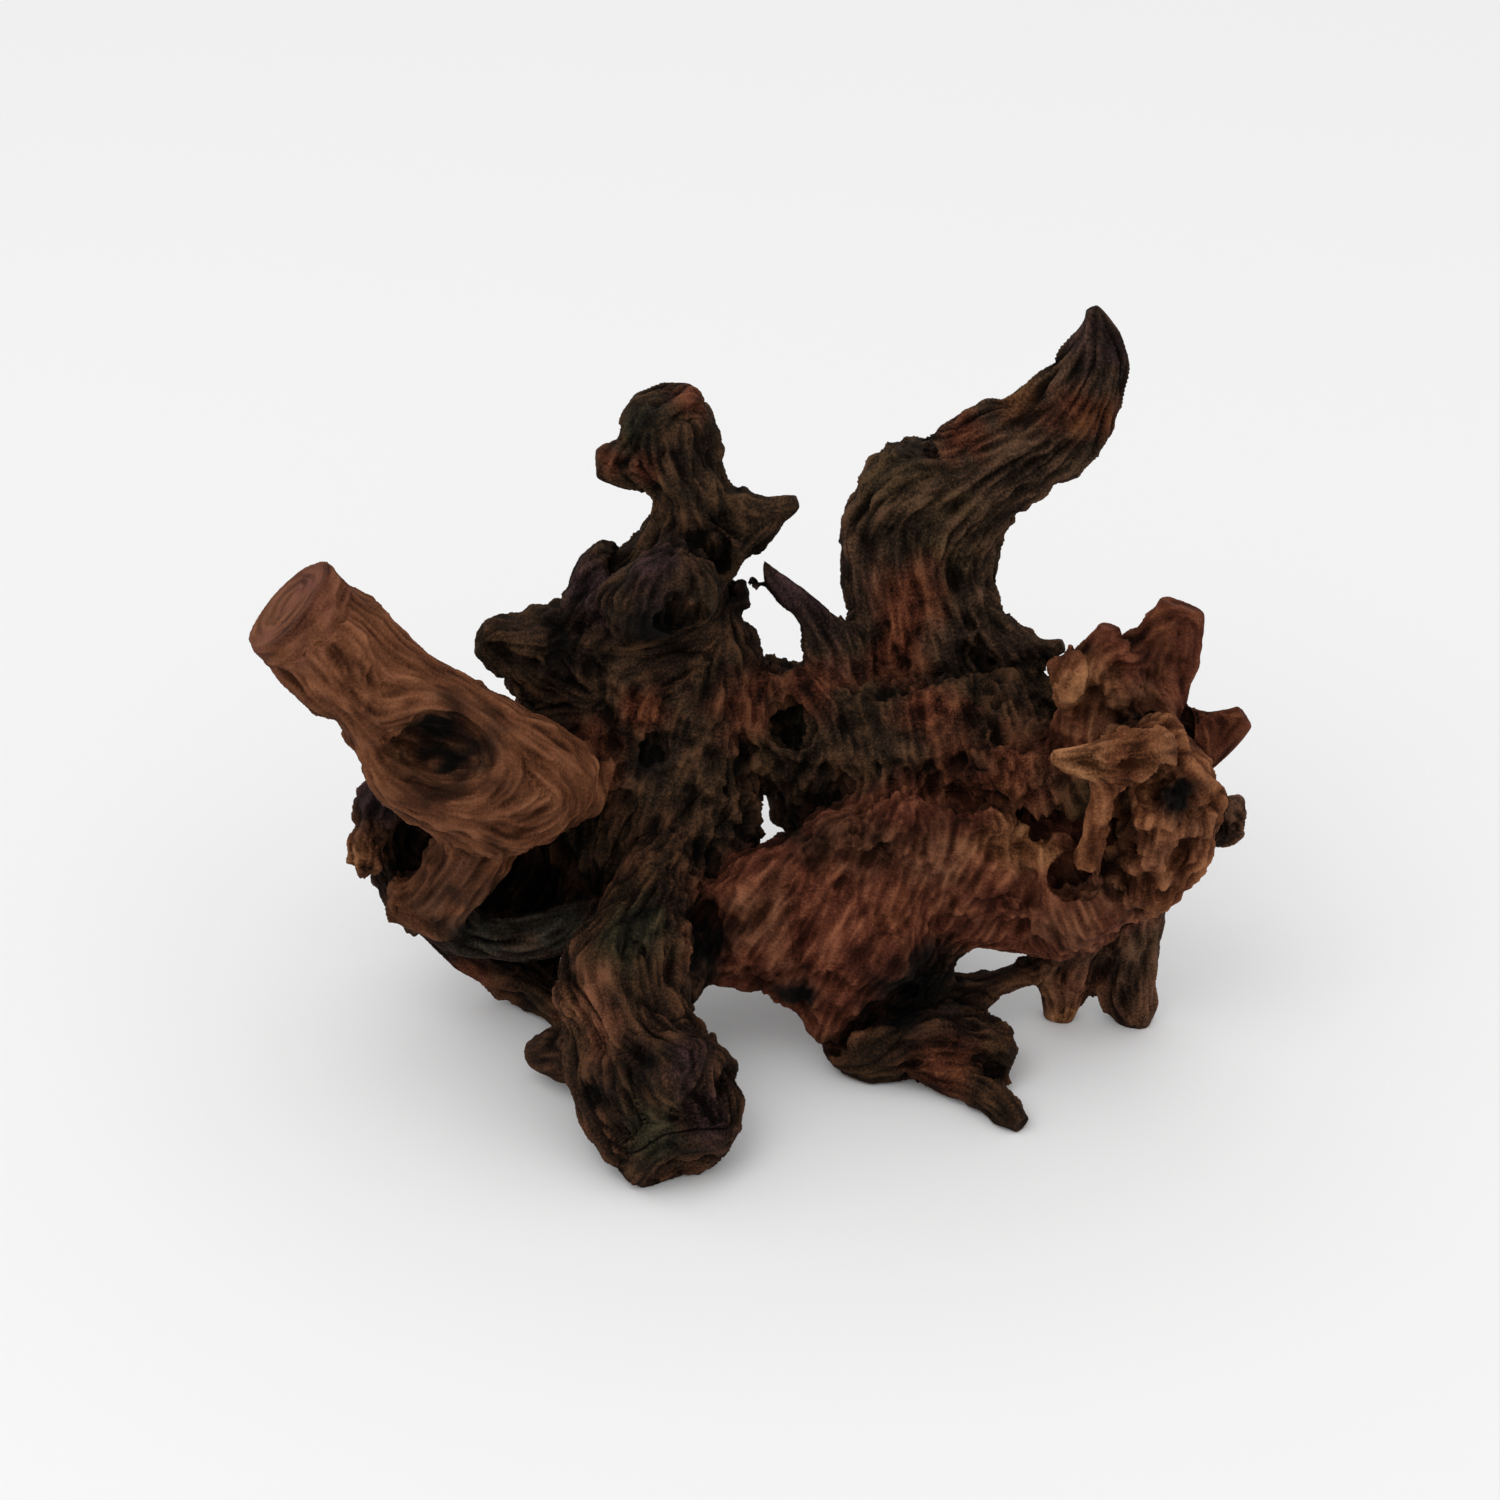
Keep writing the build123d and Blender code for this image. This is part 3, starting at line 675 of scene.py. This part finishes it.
# ---------------------------------------------------------------- materials
class Nodes:
    """A short way to write a material's node tree."""

    def __init__(self, material):
        material.use_nodes = True
        self.tree = material.node_tree
        self.tree.nodes.clear()

    def add(self, kind, **settings):
        node = self.tree.nodes.new(kind)
        inputs = settings.pop("inputs", {})
        for key, value in settings.items():
            setattr(node, key, value)
        for key, value in inputs.items():
            self.feed(node.inputs[key], value)
        return node

    def feed(self, socket, value):
        if isinstance(value, bpy.types.NodeSocket):
            self.tree.links.new(value, socket)
        else:
            socket.default_value = value

    def value(self, attribute):
        return self.add("ShaderNodeAttribute", attribute_name=attribute).outputs["Fac"]

    def colour(self, attribute):
        return self.add("ShaderNodeAttribute", attribute_name=attribute).outputs["Color"]

    def math(self, operation, a, b=0.0):
        node = self.add("ShaderNodeMath", operation=operation)
        self.feed(node.inputs[0], a)
        self.feed(node.inputs[1], b)
        return node.outputs[0]

    def noise(self, scale, detail=4.0, vector=None):
        node = self.add("ShaderNodeTexNoise", inputs={"Scale": scale, "Detail": detail})
        if vector is not None:
            self.feed(node.inputs["Vector"], vector)
        return node.outputs["Fac"]

    def ramp(self, value, stops):
        node = self.add("ShaderNodeValToRGB", inputs={"Fac": value})
        ramp = node.color_ramp
        while len(ramp.elements) < len(stops):
            ramp.elements.new(0.5)
        for element, (place, colour) in zip(ramp.elements, stops):
            element.position = place
            element.color = (*colour, 1)
        return node.outputs["Color"]

    def span(self, value, low, high, to_low=0.0, to_high=1.0):
        node = self.add("ShaderNodeMapRange", inputs={
            "Value": value, "From Min": low, "From Max": high, "To Min": to_low, "To Max": to_high})
        return node.outputs["Result"]

    def mix(self, amount, a, b, blend="MIX"):
        node = self.add("ShaderNodeMix", data_type="RGBA", blend_type=blend)
        self.feed(node.inputs["Factor"], amount)
        self.feed(node.inputs["A"], a)
        self.feed(node.inputs["B"], b)
        return node.outputs["Result"]


# Slots that are less mottled than the rest, and by what share.
EVEN = {"tan_casting": 0.55, "ochre_casting": 0.75, "red_casting": 0.65}


def casting_material(slot):
    """Return the painted resin of one slot: open grain, with painted shade in its hollows and cracks and
    a painted highlight on its raised crests.
    """
    material = bpy.data.materials.new(slot)
    n = Nodes(material)
    middle, light = n.colour("middle"), n.colour("light")
    # deep is a darker copy of the middle colour: the low tone falls to it, and it paints shade into the
    # cracks
    darkest = (0.30, 0.27, 0.24, 1) if slot in EVEN else (0.15, 0.14, 0.12, 1)
    deep = n.mix(1.0, middle, darkest, "MULTIPLY")
    place = n.add("ShaderNodeTexCoord").outputs["Object"]
    speckle = n.noise(1300.0, 5.0, place)
    blotch = n.noise(90.0, 6.0, place)
    tone = n.math("MULTIPLY", n.value("fibre"), 0.13)
    # painted highlight and shade: raised relief is made paler and sunken relief darker
    tone = n.math("ADD", tone, n.math("MULTIPLY", n.value("relief"), 0.13))
    tone = n.math("ADD", tone, n.math("MULTIPLY", n.value("strand"), 0.03))
    mottle = EVEN.get(slot, 1.0)
    tone = n.math("ADD", tone, n.span(speckle, 0.3, 0.7, 0.40 - 0.27 * mottle, 0.40 + 0.27 * mottle))
    tone = n.math("ADD", tone, n.span(blotch, 0.3, 0.7, -0.12 * mottle, 0.18 * mottle))
    colour = n.mix(n.span(tone, 0.02, 0.42), deep, middle)
    colour = n.mix(n.span(tone, 0.42, 0.95), colour, light)
    most_green = 0.1 if slot in EVEN else 0.45
    green = n.span(n.noise(38.0, 3.0, place), 0.52, 0.68, 0.0, most_green)
    colour = n.mix(green, colour, n.mix(1.0, colour, (0.60, 0.82, 0.50, 1), "MULTIPLY"))
    # painted shade: the colour is darkened where little open air lies in front of the surface, in
    # crevices and hollows
    shade = n.span(n.value("crevice_shade_openness"), 0.2, 0.95, 0.14, 1.0)
    colour = n.mix(1.0, colour, shade, "MULTIPLY")
    # painted shade: the cracks are coloured toward the deep colour
    colour = n.mix(n.span(n.value("split"), 0.1, 0.8, 0.0, 0.9), colour, deep)
    height = n.math("ADD", n.noise(1500.0, 4.0, place), n.math("MULTIPLY", n.value("fibre"), 0.2))
    bump = n.add("ShaderNodeBump", inputs={"Strength": 0.85, "Distance": 0.0008, "Height": height})
    shader = n.add("ShaderNodeBsdfPrincipled", inputs={
        "Base Color": colour, "Roughness": n.span(speckle, 0.3, 0.7, 0.65, 0.9),
        "Normal": bump.outputs["Normal"]})
    shader.inputs["Specular IOR Level"].default_value = 0.06
    output = n.add("ShaderNodeOutputMaterial")
    n.tree.links.new(shader.outputs["BSDF"], output.inputs["Surface"])
    return material


def steel_material():
    """Return the ground stainless steel of the locating pins."""
    material = bpy.data.materials.new("pin_steel")
    n = Nodes(material)
    scratches = n.noise(2500.0, 2.0, n.add("ShaderNodeTexCoord").outputs["Object"])
    shader = n.add("ShaderNodeBsdfPrincipled", inputs={
        "Base Color": n.ramp(scratches, [(0.3, (0.42, 0.42, 0.43)), (0.7, (0.62, 0.62, 0.63))]),
        "Roughness": n.span(scratches, 0.3, 0.7, 0.25, 0.45)})
    shader.inputs["Metallic"].default_value = 1.0
    output = n.add("ShaderNodeOutputMaterial")
    n.tree.links.new(shader.outputs["BSDF"], output.inputs["Surface"])
    return material


# ---------------------------------------------------------------- studio
def studio():
    """Add the pale floor, the soft light and the camera."""
    low, high = (Vector(corner) for corner in cad_box)
    bpy.ops.mesh.primitive_plane_add(size=6)
    floor = bpy.context.object
    floor.name = "floor"
    material = bpy.data.materials.new("floor_white")
    n = Nodes(material)
    shader = n.add("ShaderNodeBsdfPrincipled", inputs={
        "Base Color": (0.80, 0.80, 0.80, 1), "Roughness": 0.9})
    shader.inputs["Specular IOR Level"].default_value = 0.0
    output = n.add("ShaderNodeOutputMaterial")
    n.tree.links.new(shader.outputs["BSDF"], output.inputs["Surface"])
    floor.data.materials.append(material)

    world = bpy.data.worlds.new("studio")
    bpy.context.scene.world = world
    world.use_nodes = True
    world.node_tree.nodes["Background"].inputs["Color"].default_value = (1, 1, 1, 1)
    world.node_tree.nodes["Background"].inputs["Strength"].default_value = 1.0

    middle = (low + high) / 2
    for name, place, size, power in (
            ("key", (-0.7, -1.0, 1.7), 1.2, 9.0), ("fill", (1.3, -0.9, 1.2), 1.6, 2.0)):
        lamp = bpy.data.lights.new(name, "AREA")
        lamp.size = size
        lamp.energy = power
        light = bpy.data.objects.new(name, lamp)
        light.location = middle + Vector(place)
        light.rotation_euler = (middle - light.location).to_track_quat("-Z", "Y").to_euler()
        bpy.context.scene.collection.objects.link(light)

    lens = bpy.data.cameras.new("camera")
    lens.lens = 100
    lens.sensor_width = 36
    distance = 1.25
    elevation = math.radians(30)
    target = Vector((-0.0019, -0.0016, 0.1044))
    camera = bpy.data.objects.new("camera", lens)
    camera.location = target + distance * Vector((0, -math.cos(elevation), math.sin(elevation)))
    camera.rotation_euler = (math.radians(90) - elevation, 0, 0)
    bpy.context.scene.collection.objects.link(camera)
    bpy.context.scene.camera = camera
    bpy.context.scene.view_settings.view_transform = "Standard"


# ---------------------------------------------------------------- the scene
studio()
slots = {entry["node"]: entry["material_slot"] for entry in frame["record"]["subparts"]}
nodes = {name: obj for name, obj in frame["nodes"].items() if name not in HIDDEN}
materials = {slot: casting_material(slot) for slot in RELIEF}
for name, piece in build_castings(nodes, slots).items():
    piece.data.materials.append(materials[slots[name]])
    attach(piece, "root")
    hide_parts(name)
steel = steel_material()
for name in HIDDEN:
    for holder in frame["nodes"][name].material_slots:
        holder.material = steel
